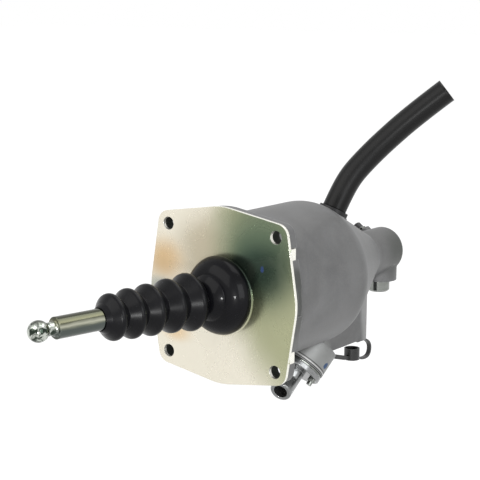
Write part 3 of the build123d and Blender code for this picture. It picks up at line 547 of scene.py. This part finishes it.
# Push rod: zinc film with painted reflections in lengthwise bands by height: an olive band on top, a pale
# painted highlight stripe, painted shade on the underside, darker along its top and underside edges; the ball
# paler, with dark smudges as painted reflections
rodSettings = {
    "mid": (0.19, 0.20, 0.155, 1), "oliveTintAndReflection": (0.125, 0.125, 0.080, 1), "paleHighlight": (0.55, 0.55, 0.44, 1),
    "undersideShade": (0.085, 0.098, 0.090, 1), "rim": (0.055, 0.060, 0.045, 1),
    "ball": (0.52, 0.55, 0.50, 1), "darkBallReflection": (0.030, 0.042, 0.032, 1),
    "oliveReflectionBand": (0.0030, 0.0052), "undersideShadeBand": (0.0014, -0.0010), "rimBand": (0.0056, 0.0074),
    "paleHighlightStart": (0.0006, 0.0024), "paleHighlightEnd": (0.0024, 0.0042), "paleHighlightShare": 0.85, "rimShare": 0.75,
    "streaks": (260, 9, 260), "streakWobble": 0.0024, "ballEnd": (-0.1600, -0.1640),
    "reflectionSmudgeSize": 210.0, "reflectionSmudges": (0.44, 0.58), "marks": 90.0, "rough": (0.10, 0.20),
    "relief": (0.0001, 0.08),
}


def rodSteel(settings):
    material, tree, principled, place = newMaterial("rodSteel", {"Metallic": 1.0})
    streaks = useGroup(tree, toolLines, stretch(tree, place, settings["streaks"]))["Lines"]
    smear = useGroup(tree, handling, place, Size=settings["marks"])["Smear"]
    parts = splitPlace(tree, place)
    height = calc(tree, "MULTIPLY_ADD", streaks, settings["streakWobble"], parts["Z"])
    height = calc(tree, "SUBTRACT", height, settings["streakWobble"] / 2)
    # Painted reflections and shade by height on the rod: a pale highlight stripe above the axis, an olive
    # reflection band on top, painted shade below, and darker towards the top and bottom edges
    paleHighlight = calc(tree, "MULTIPLY", spread(tree, height, *settings["paleHighlightStart"]),
                spread(tree, height, *settings["paleHighlightEnd"], 1.0, 0.0))
    colour = mixColour(tree, spread(tree, height, *settings["oliveReflectionBand"]), settings["mid"], settings["oliveTintAndReflection"])
    colour = mixColour(tree, spread(tree, height, *settings["undersideShadeBand"]), colour, settings["undersideShade"])
    colour = mixColour(tree, calc(tree, "MULTIPLY", paleHighlight, settings["paleHighlightShare"]), colour, settings["paleHighlight"])
    reflectionSmudges = addNoise(tree, place, settings["reflectionSmudgeSize"], 3.0, 0.5, 1.0)
    ball = mixColour(tree, spread(tree, reflectionSmudges, *settings["reflectionSmudges"]), settings["ball"], settings["darkBallReflection"])
    colour = mixColour(tree, spread(tree, parts["Y"], *settings["ballEnd"]), colour, ball)
    rim = spread(tree, calc(tree, "ABSOLUTE", parts["Z"]), *settings["rimBand"])
    colour = mixColour(tree, calc(tree, "MULTIPLY", rim, settings["rimShare"]), colour, settings["rim"])
    roughness = spread(tree, smear, 0.0, 1.0, *settings["rough"])
    finishWith(tree, principled, colour, roughness, streaks, settings["relief"])
    return material


# Rubbers and plastics: dull black or pale skins with dust in their grain
skinSettings = {
    "bootRubber": {"base": (0.0030, 0.0030, 0.0038, 1), "bloom": (0.0070, 0.0070, 0.0082, 1),
                   "rough": (0.25, 0.35), "grain": 1500.0, "bump": 0.05, "specular": 0.13},
    "sealRubber": {"base": (0.012, 0.012, 0.012, 1), "bloom": (0.035, 0.035, 0.036, 1),
                   "rough": (0.42, 0.58), "grain": 1800.0, "bump": 0.15, "specular": 0.45},
    "strapRubber": {"base": (0.014, 0.014, 0.014, 1), "bloom": (0.040, 0.040, 0.039, 1),
                    "rough": (0.32, 0.46), "grain": 1500.0, "bump": 0.12, "specular": 0.40},
    "bulbRubber": {"base": (0.0022, 0.0022, 0.0030, 1), "bloom": (0.0055, 0.0055, 0.0068, 1),
                   "rough": (0.25, 0.35), "grain": 1500.0, "bump": 0.03, "specular": 0.06, "coat": 0.12},
    "blackPlastic": {"base": (0.008, 0.008, 0.009, 1), "bloom": (0.022, 0.022, 0.022, 1),
                     "rough": (0.34, 0.48), "grain": 2200.0, "bump": 0.12, "specular": 0.3},
    "palePlastic": {"base": (0.78, 0.75, 0.66, 1), "bloom": (0.66, 0.62, 0.53, 1),
                    "rough": (0.36, 0.50), "grain": 2000.0, "bump": 0.08, "specular": 0.5},
    "gasketSheet": {"base": (0.014, 0.014, 0.013, 1), "bloom": (0.036, 0.035, 0.032, 1),
                    "rough": (0.78, 0.90), "grain": 1100.0, "bump": 0.35, "specular": 0.3},
}

# What the rubbers and plastics share
skinMarks = {
    "clouds": 45.0, "pits": 900.0, "smearSize": 55.0, "smearShare": 0.35, "tones": (0.40, 0.66),
    "toneShare": 0.6, "roughShares": (0.0, 0.9), "coatRough": 0.05, "depth": 0.0001,
}


def softSkin(name, settings, marks):
    material, tree, principled, place = newMaterial(name, {
        "Specular IOR Level": settings["specular"], "Coat Weight": settings.get("coat", 0.0),
        "Coat Roughness": marks["coatRough"]})
    skin = useGroup(tree, castSkin, place, Grain=settings["grain"], Clouds=marks["clouds"],
                    Pits=marks["pits"])
    smear = useGroup(tree, handling, place, Size=marks["smearSize"])["Smear"]
    share = calc(tree, "MULTIPLY", spread(tree, skin["Tone"], *marks["tones"]), marks["toneShare"])
    share = calc(tree, "MULTIPLY_ADD", smear, marks["smearShare"], share, clamp=True)
    colour = mixColour(tree, share, settings["base"], settings["bloom"])
    roughness = spread(tree, share, *marks["roughShares"], *settings["rough"])
    finishWith(tree, principled, colour, roughness, skin["Height"], (marks["depth"], settings["bump"]))
    return material


# The hose: its route's points, and drawn rubber streaked along its length
hoseSettings = {
    "route": [(-18.7, 201.1, 45.6), (-14.7, 207.7, 61.3), (-9.2, 215.3, 76.6), (-1.1, 224.3, 90.0),
              (12.4, 236.0, 108.0), (36.0, 252.7, 134.3), (61.2, 267.3, 157.3)],
    "radius": 11.5, "wall": 3.25, "length": 0.1549, "smoothness": (24, 12),
    "base": (0.0045, 0.0045, 0.0045, 1), "bloom": (0.010, 0.010, 0.010, 1), "rough": (0.30, 0.38),
    "specular": 0.17, "drawn": (3.0, 60.0, 1.0), "streaks": (0.35, 0.7), "streakShare": 0.5, "toneShare": 0.4,
    "skin": {"Grain": 1400.0, "Clouds": 60.0, "Pits": 700.0}, "roughShares": (0.1, 0.8),
    "relief": (0.0002, 0.06),
}


def hoseRubber(settings):
    shader = {"Specular IOR Level": settings["specular"]}
    material, tree, principled, place = newMaterial("hoseRubber", shader)
    unrolled = addNode(tree, "ShaderNodeTexCoord").outputs["UV"]
    streaks = addNoise(tree, stretch(tree, unrolled, settings["drawn"]), 1.0, 3.0, 0.6)
    skin = useGroup(tree, castSkin, place, **settings["skin"])
    tone = calc(tree, "MULTIPLY", skin["Tone"], settings["toneShare"])
    bands = spread(tree, streaks, *settings["streaks"])
    share = calc(tree, "MULTIPLY_ADD", bands, settings["streakShare"], tone)
    colour = mixColour(tree, share, settings["base"], settings["bloom"])
    roughness = spread(tree, share, *settings["roughShares"], *settings["rough"])
    height = calc(tree, "MULTIPLY_ADD", streaks, 0.5, calc(tree, "MULTIPLY", skin["Height"], 0.5))
    finishWith(tree, principled, colour, roughness, height, settings["relief"])
    return material


materials = {"castAluminium": castAluminium(castSettings), "yellowZinc": yellowZinc(plateSettings),
             "rodSteel": rodSteel(rodSettings), "hoseRubber": hoseRubber(hoseSettings)}
for finish, values in metalSettings.items():
    materials[finish] = metalFinish(finish, values, metalMarks)
for finish, values in skinSettings.items():
    materials[finish] = softSkin(finish, values, skinMarks)
print("materials made:", len(materials))


def dress(piece, finish):
    piece.data.materials.clear()
    piece.data.materials.append(materials[finish])


nodeFinishes = {
    "housing": "castAluminium", "mounting_plate": "yellowZinc", "plate_gasket": "gasketSheet",
    "port_washer": "copper", "port_adapter": "zincSteel", "bleed_screw": "zincSteel",
    "bleed_cap": "sealRubber", "exhaust_spigot": "blackPlastic", "guide_bush": "bronze",
    "plunger_seal": "sealRubber",
    "power_piston": "machinedAluminium", "piston_guide_ring": "palePlastic", "piston_seal": "sealRubber",
    "hydraulic_plunger": "groundSteel", "rod_retainer": "zincSteel", "ball_cup": "palePlastic",
    "push_rod": "rodSteel", "pilot_piston": "machinedAluminium", "pilot_seal": "sealRubber",
    "pilot_plug": "zincSteel", "valve_seat": "bronze", "inlet_valve": "sealRubber",
    "inlet_elbow": "zincCasting", "elbow_o_ring": "sealRubber", "elbow_circlip": "zincSteel",
    "elbow_screw": "zincSteel", "cap_strap": "strapRubber",
}
for node, finish in nodeFinishes.items():
    dress(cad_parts[node], finish)
print("frame nodes dressed:", len(nodeFinishes))


# Hose: a smooth line through the route, then a tube with a wall
def makeHose(settings):
    curve = bpy.data.curves.new("exhaustHose", "CURVE")
    curve.dimensions = "3D"
    curve.bevel_depth = settings["radius"] * mm
    curve.resolution_u, curve.bevel_resolution = settings["smoothness"]
    spline = curve.splines.new("NURBS")
    spline.points.add(len(settings["route"]) - 1)
    for point, place in zip(spline.points, settings["route"]):
        point.co = (*(Vector(place) * mm), 1.0)
    spline.order_u = 3
    spline.use_endpoint_u = True
    hose = bpy.data.objects.new("exhaustHose", curve)
    bpy.context.collection.objects.link(hose)
    addWall(hose, settings["wall"])
    curve.materials.append(materials["hoseRubber"])
    return hose


hose = makeHose(hoseSettings)
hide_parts("exhaust_hose")
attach(hose, "casing")
print("hose laid")


# Lathe: a chain of (place, radius) points drawn by extrusion, then spun about Y
def lathe(name, outline, steps, mergeReach=0.00001):
    deselectAll()
    bpy.ops.mesh.primitive_plane_add(size=mm, location=(0, 0, 0))
    piece = bpy.context.object
    piece.name = name
    bpy.ops.object.mode_set(mode="EDIT")
    bpy.ops.mesh.select_all(action="SELECT")
    bpy.ops.mesh.merge(type="CENTER")
    bpy.ops.transform.translate(value=(outline[0][1] * mm, outline[0][0] * mm, 0))
    for before, after in zip(outline, outline[1:]):
        step = ((after[1] - before[1]) * mm, (after[0] - before[0]) * mm, 0)
        bpy.ops.mesh.extrude_region_move(TRANSFORM_OT_translate={"value": step})
    bpy.ops.mesh.select_all(action="SELECT")
    bpy.ops.mesh.spin(steps=steps, angle=2 * pi, center=(0, 0, 0), axis=(0, 1, 0))
    bpy.ops.mesh.select_all(action="SELECT")
    bpy.ops.mesh.remove_doubles(threshold=mergeReach)
    bpy.ops.mesh.normals_make_consistent(inside=False)
    bpy.ops.object.mode_set(mode="OBJECT")
    placeInMesh(piece)
    bpy.ops.object.shade_smooth_by_angle(angle=smoothAngle)
    return piece


# Points of the circle's arc through three (place, radius) points, without the first
def arcThrough(start, middle, end, count):
    ax, ay = start
    bx, by = middle
    cx, cy = end
    d = 2 * (ax * (by - cy) + bx * (cy - ay) + cx * (ay - by))
    ux = ((ax**2 + ay**2) * (by - cy) + (bx**2 + by**2) * (cy - ay) + (cx**2 + cy**2) * (ay - by)) / d
    uy = ((ax**2 + ay**2) * (cx - bx) + (bx**2 + by**2) * (ax - cx) + (cx**2 + cy**2) * (bx - ax)) / d
    radius = hypot(ax - ux, ay - uy)
    first = atan2(ay - uy, ax - ux)
    half = (atan2(by - uy, bx - ux) - first) % (2 * pi)
    whole = (atan2(cy - uy, cx - ux) - first) % (2 * pi)
    if half > whole:
        whole -= 2 * pi
    return [(ux + radius * cos(first + whole * k / count), uy + radius * sin(first + whole * k / count))
            for k in range(1, count + 1)]


# A chain of (place, radius) corners, each rounded by its own bend
def roundedChain(corners, bends, count):
    points = [corners[0]]
    for before, corner, after, bend in zip(corners, corners[1:], corners[2:], bends):
        here = Vector(corner)
        back = (Vector(before) - here).normalized()
        on = (Vector(after) - here).normalized()
        half = back.angle(on) / 2
        middle = here + (back + on).normalized() * (bend / sin(half))
        start = here + back * (bend * cos(half) / sin(half)) - middle
        turn = (pi - 2 * half) * (1 if back.cross(on) < 0 else -1)
        for k in range(count + 1):
            arm = Matrix.Rotation(turn * k / count, 2) @ start
            points.append(tuple(middle + arm))
    return points + [corners[-1]]


# Bellows that follow the push rod, as corners (place along the rod, radius)
bellowsSettings = {
    "lip": (-121.5, 9.5), "funnel": (-117.8, 12.0), "tail": (-8.0, 17.5),
    "crests": [(-110.7, 20.2), (-93.0, 21.4), (-74.4, 22.0), (-54.0, 23.0), (-34.0, 25.2)],
    "valleys": [(-101.9, 12.7), (-83.8, 13.7), (-64.3, 14.5), (-43.9, 16.0), (-25.5, 17.5)],
    "crestBend": 4.0, "valleyBend": 1.0, "funnelBend": 3.0, "bendSteps": 8, "steps": 128,
    "wall": 2.0, "lipWall": 3.0, "bore": 8.9, "boreClear": 0.2,
    "pivot": 8.0, "swing": 11.0, "front": -22.0, "travel": 65.0,
    "lean": 0.28,  # the drawn-in rod shifts sideways
}


def bellowsChain(settings, inset):
    corners = [settings["lip"], settings["funnel"]]
    bends = [settings["funnelBend"]]
    for crest, valley in zip(settings["crests"], settings["valleys"]):
        corners += [crest, valley]
        bends += [settings["crestBend"], settings["valleyBend"]]
    chain = roundedChain(corners + [settings["tail"]], bends, settings["bendSteps"])
    return [(place, radius - inset) for place, radius in chain]


def makeBellows(settings):
    outer = bellowsChain(settings, 0)
    start = settings["lip"][0] + settings["lipWall"]
    inner = [(place, radius) for place, radius in bellowsChain(settings, settings["wall"])
             if place > start and radius > settings["bore"] + settings["boreClear"]]
    mouth = [(start, settings["bore"]), (settings["lip"][0], settings["bore"])]
    return lathe("bootBellows", outer + inner[::-1] + mouth + [outer[0]], settings["steps"])


def swingPiece(piece, pivot, angle):
    there = Matrix.Translation(Vector(pivot) * mm)
    piece.matrix_world = there @ Matrix.Rotation(radians(-angle), 4, "Z") @ there.inverted()
    placeInMesh(piece)


# Rubber in front of the plate is carried by the rod and swings with it
def followRod(piece):
    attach(piece, "push_rod")
    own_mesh(piece)


bellows = makeBellows(bellowsSettings)
swingPiece(bellows, (0, bellowsSettings["pivot"], 0), bellowsSettings["swing"])
dress(bellows, "bootRubber")
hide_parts("rubber_boot")
followRod(bellows)
print("bellows made")


# Dome and bulb behind the bellows, pushed a little aside, the bulb trimmed along the plate
bulbSettings = {
    "middle": (4.4, -8.0, 2.7), "swing": 5.5, "nose": (-29.4, 0.0), "dome": (-25.0, 15.0),
    "groove": (-21.5, 19.2), "tucked": (-19.6, 19.6), "shoulder": (-18.2, 26.6), "bulb": (-8.0, 32.7),
    "heel": (-3.8, 31.0), "tuck": (-2.0, 26.8), "web": (-17.8, 17.6), "back": -1.6, "wall": 2.0, "steps": 144,
    "bulbSteps": 14, "heelSteps": 10, "domeSteps": 16,
    "hole": {"radius": 15.0, "place": -22.0, "depth": 24.0, "steps": 96},
}


def bulbPart(name, outline, settings):
    centred = [(place - settings["bulb"][0], radius) for place, radius in outline]
    piece = lathe(name, centred, settings["steps"])
    piece.matrix_world = (Matrix.Translation(Vector(settings["middle"]) * mm)
                          @ Matrix.Rotation(radians(-settings["swing"]), 4, "Z"))
    placeInMesh(piece)
    return piece


# A web behind the dome closes the bulb where the dome moves aside with the rod
def makeBulb(settings):
    outline = [(settings["web"][0], 0.0), settings["web"], settings["groove"]]
    outline += arcThrough(settings["groove"], settings["shoulder"], settings["bulb"], settings["bulbSteps"])
    outline += arcThrough(settings["bulb"], settings["heel"], settings["tuck"], settings["heelSteps"])
    bulb = bulbPart("bootBulb", outline, settings)
    bpy.ops.object.mode_set(mode="EDIT")
    bpy.ops.mesh.select_all(action="SELECT")
    bpy.ops.mesh.bisect(plane_co=(0, settings["back"] * mm, 0), plane_no=(0, 1, 0), clear_outer=True)
    bpy.ops.object.mode_set(mode="OBJECT")
    addWall(bulb, settings["wall"])
    applyModifiers(bulb)
    return bulb


# The dome lets the swung rod through a hole drilled along the rod's line
def makeDome(settings, line):
    outline = [settings["nose"]]
    outline += arcThrough(settings["nose"], settings["dome"], settings["groove"], settings["domeSteps"])
    dome = bulbPart("bootDome", outline + [settings["tucked"]], settings)
    addWall(dome, settings["wall"])
    applyModifiers(dome)
    deselectAll()
    hole = settings["hole"]
    bpy.ops.mesh.primitive_cylinder_add(vertices=hole["steps"], radius=hole["radius"] * mm,
                                        depth=hole["depth"] * mm, location=(0, hole["place"] * mm, 0),
                                        rotation=(pi / 2, 0, 0))
    drill = bpy.context.object
    placeInMesh(drill)
    swingPiece(drill, (0, line["pivot"], 0), line["swing"])
    cut = dome.modifiers.new("hole", "BOOLEAN")
    cut.operation = "DIFFERENCE"
    cut.solver = "EXACT"
    cut.object = drill
    applyModifiers(dome)
    makeActive(drill)
    bpy.ops.object.delete()
    return dome


bulb = makeBulb(bulbSettings)
dome = makeDome(bulbSettings, bellowsSettings)
for piece in (bulb, dome):
    makeActive(piece)
    bpy.ops.object.shade_smooth_by_angle(angle=smoothAngle)
    dress(piece, "bulbRubber")
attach(bulb, "casing")
followRod(dome)

# Neck and bead that hold the boot in the plate
neckSettings = {
    "outline": [(-6.4, 26.6), (-5.9, 26.9), (3.1, 26.9), (3.1, 30.0), (3.6, 30.5), (4.8, 30.5), (5.3, 30.0),
                (5.3, 24.8), (-6.4, 24.8), (-6.4, 26.6)],
    "steps": 96,
}
neck = lathe("bootNeck", neckSettings["outline"], neckSettings["steps"])
dress(neck, "bootRubber")
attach(neck, "casing")
print("boot made")


# Springs: a wire end screwed along its axis
springSettings = {
    "return_spring": {"name": "returnSpring", "start": (0, 29.1, 0), "along": (0, 1, 0), "radius": 25.6,
                      "wire": 4.0, "height": 153.8, "turns": 6.0, "joint": "piston_slide", "travel": 65.0},
    "pilot_spring": {"name": "pilotSpring", "start": (0, 203.0, -60.7), "along": (0, 0, -1), "radius": 7.4,
                     "wire": 1.4, "height": 9.5, "turns": 4.0, "joint": "pilot_slide", "travel": 3.0},
    "inlet_valve_spring": {"name": "inletValveSpring", "start": (1.271, 127.339, -74.915),
                           "along": valveLine, "radius": 8.0, "wire": 1.2, "height": 4.9, "turns": 2.5,
                           "joint": "inlet_valve_slide", "travel": 1.8},
}
wireSettings = {"sides": 12, "stepsPerTurn": 40, "smooth": radians(50)}


def makeSpring(settings, wire):
    deselectAll()
    bpy.ops.mesh.primitive_circle_add(vertices=wire["sides"], radius=settings["wire"] / 2 * mm,
                                      fill_type="NGON", location=(settings["radius"] * mm, 0, 0),
                                      rotation=(pi / 2, 0, 0))
    spring = bpy.context.object
    spring.name = settings["name"]
    placeInMesh(spring)
    screw = spring.modifiers.new("turns", "SCREW")
    screw.angle = settings["turns"] * 2 * pi
    screw.screw_offset = settings["height"] * mm
    screw.steps = screw.render_steps = round(settings["turns"] * wire["stepsPerTurn"])
    screw.use_merge_vertices = False
    applyModifiers(spring)
    bpy.ops.object.mode_set(mode="EDIT")
    bpy.ops.mesh.select_all(action="SELECT")
    bpy.ops.mesh.normals_make_consistent(inside=False)
    bpy.ops.object.mode_set(mode="OBJECT")
    turn = Vector((0, 0, 1)).rotation_difference(Vector(settings["along"])).to_matrix().to_4x4()
    spring.matrix_world = Matrix.Translation(Vector(settings["start"]) * mm) @ turn
    placeInMesh(spring)
    bpy.ops.object.shade_smooth_by_angle(angle=wire["smooth"])
    return spring


for node, settings in springSettings.items():
    spring = makeSpring(settings, wireSettings)
    dress(spring, "springSteel")
    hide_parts(node)
    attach(spring, "casing")
    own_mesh(spring)
print("springs wound")


# Floor, lamps and world
def seenDirectly(tree):
    rays = addNode(tree, "ShaderNodeLightPath")
    mirrored = calc(tree, "MAXIMUM", rays.outputs["Is Glossy Ray"], rays.outputs["Is Transmission Ray"])
    return calc(tree, "MAXIMUM", rays.outputs["Is Camera Ray"], mirrored)


def floorMaterial(settings):
    material = bpy.data.materials.new("paleFloor")
    material.use_nodes = True
    tree = material.node_tree
    tree.nodes.clear()
    matt = addNode(tree, "ShaderNodeBsdfDiffuse")
    glow = addNode(tree, "ShaderNodeEmission")
    mix = addNode(tree, "ShaderNodeMixShader")
    end = addNode(tree, "ShaderNodeOutputMaterial")
    feed(tree, settings["floorColour"], matt.inputs["Color"])
    feed(tree, (1, 1, 1, 1), glow.inputs["Color"])
    feed(tree, settings["floorGlow"], glow.inputs["Strength"])
    feed(tree, calc(tree, "MULTIPLY", seenDirectly(tree), settings["glowShare"]), mix.inputs[0])
    feed(tree, matt.outputs[0], mix.inputs[1])
    feed(tree, glow.outputs[0], mix.inputs[2])
    feed(tree, mix.outputs[0], end.inputs["Surface"])
    return material


def addFloor(settings):
    deselectAll()
    bpy.ops.mesh.primitive_plane_add(size=settings["floorSize"], location=(0, 0, settings["floorDrop"]))
    floor = bpy.context.object
    floor.name = "paleFloor"
    placeInMesh(floor)
    floor.data.materials.append(floorMaterial(settings))


def addLamp(name, settings, aim):
    deselectAll()
    bpy.ops.object.light_add(type="AREA", location=settings["place"])
    lamp = bpy.context.object
    lamp.name = name
    lamp.data.shape = "RECTANGLE"
    lamp.data.size, lamp.data.size_y = settings["size"]
    lamp.data.energy = settings["power"]
    lamp.data.color = settings["colour"]
    lamp.rotation_euler = (Vector(aim) - Vector(settings["place"])).to_track_quat("-Z", "Y").to_euler()


def addWorld(strength):
    world = bpy.data.worlds.new("paleRoom")
    bpy.context.scene.world = world
    world.use_nodes = True
    tree = world.node_tree
    background = tree.nodes["Background"]
    feed(tree, (1, 1, 1, 1), background.inputs["Color"])
    feed(tree, spread(tree, seenDirectly(tree), 0.0, 1.0, strength, 1.0), background.inputs["Strength"])


addFloor(lightSettings)
for name in ("key", "window", "top", "front"):
    addLamp(name + "Lamp", lightSettings[name], lightSettings["aim"])
addWorld(lightSettings["world"])
bpy.context.scene.view_settings.view_transform = "Standard"
print("stage lit")
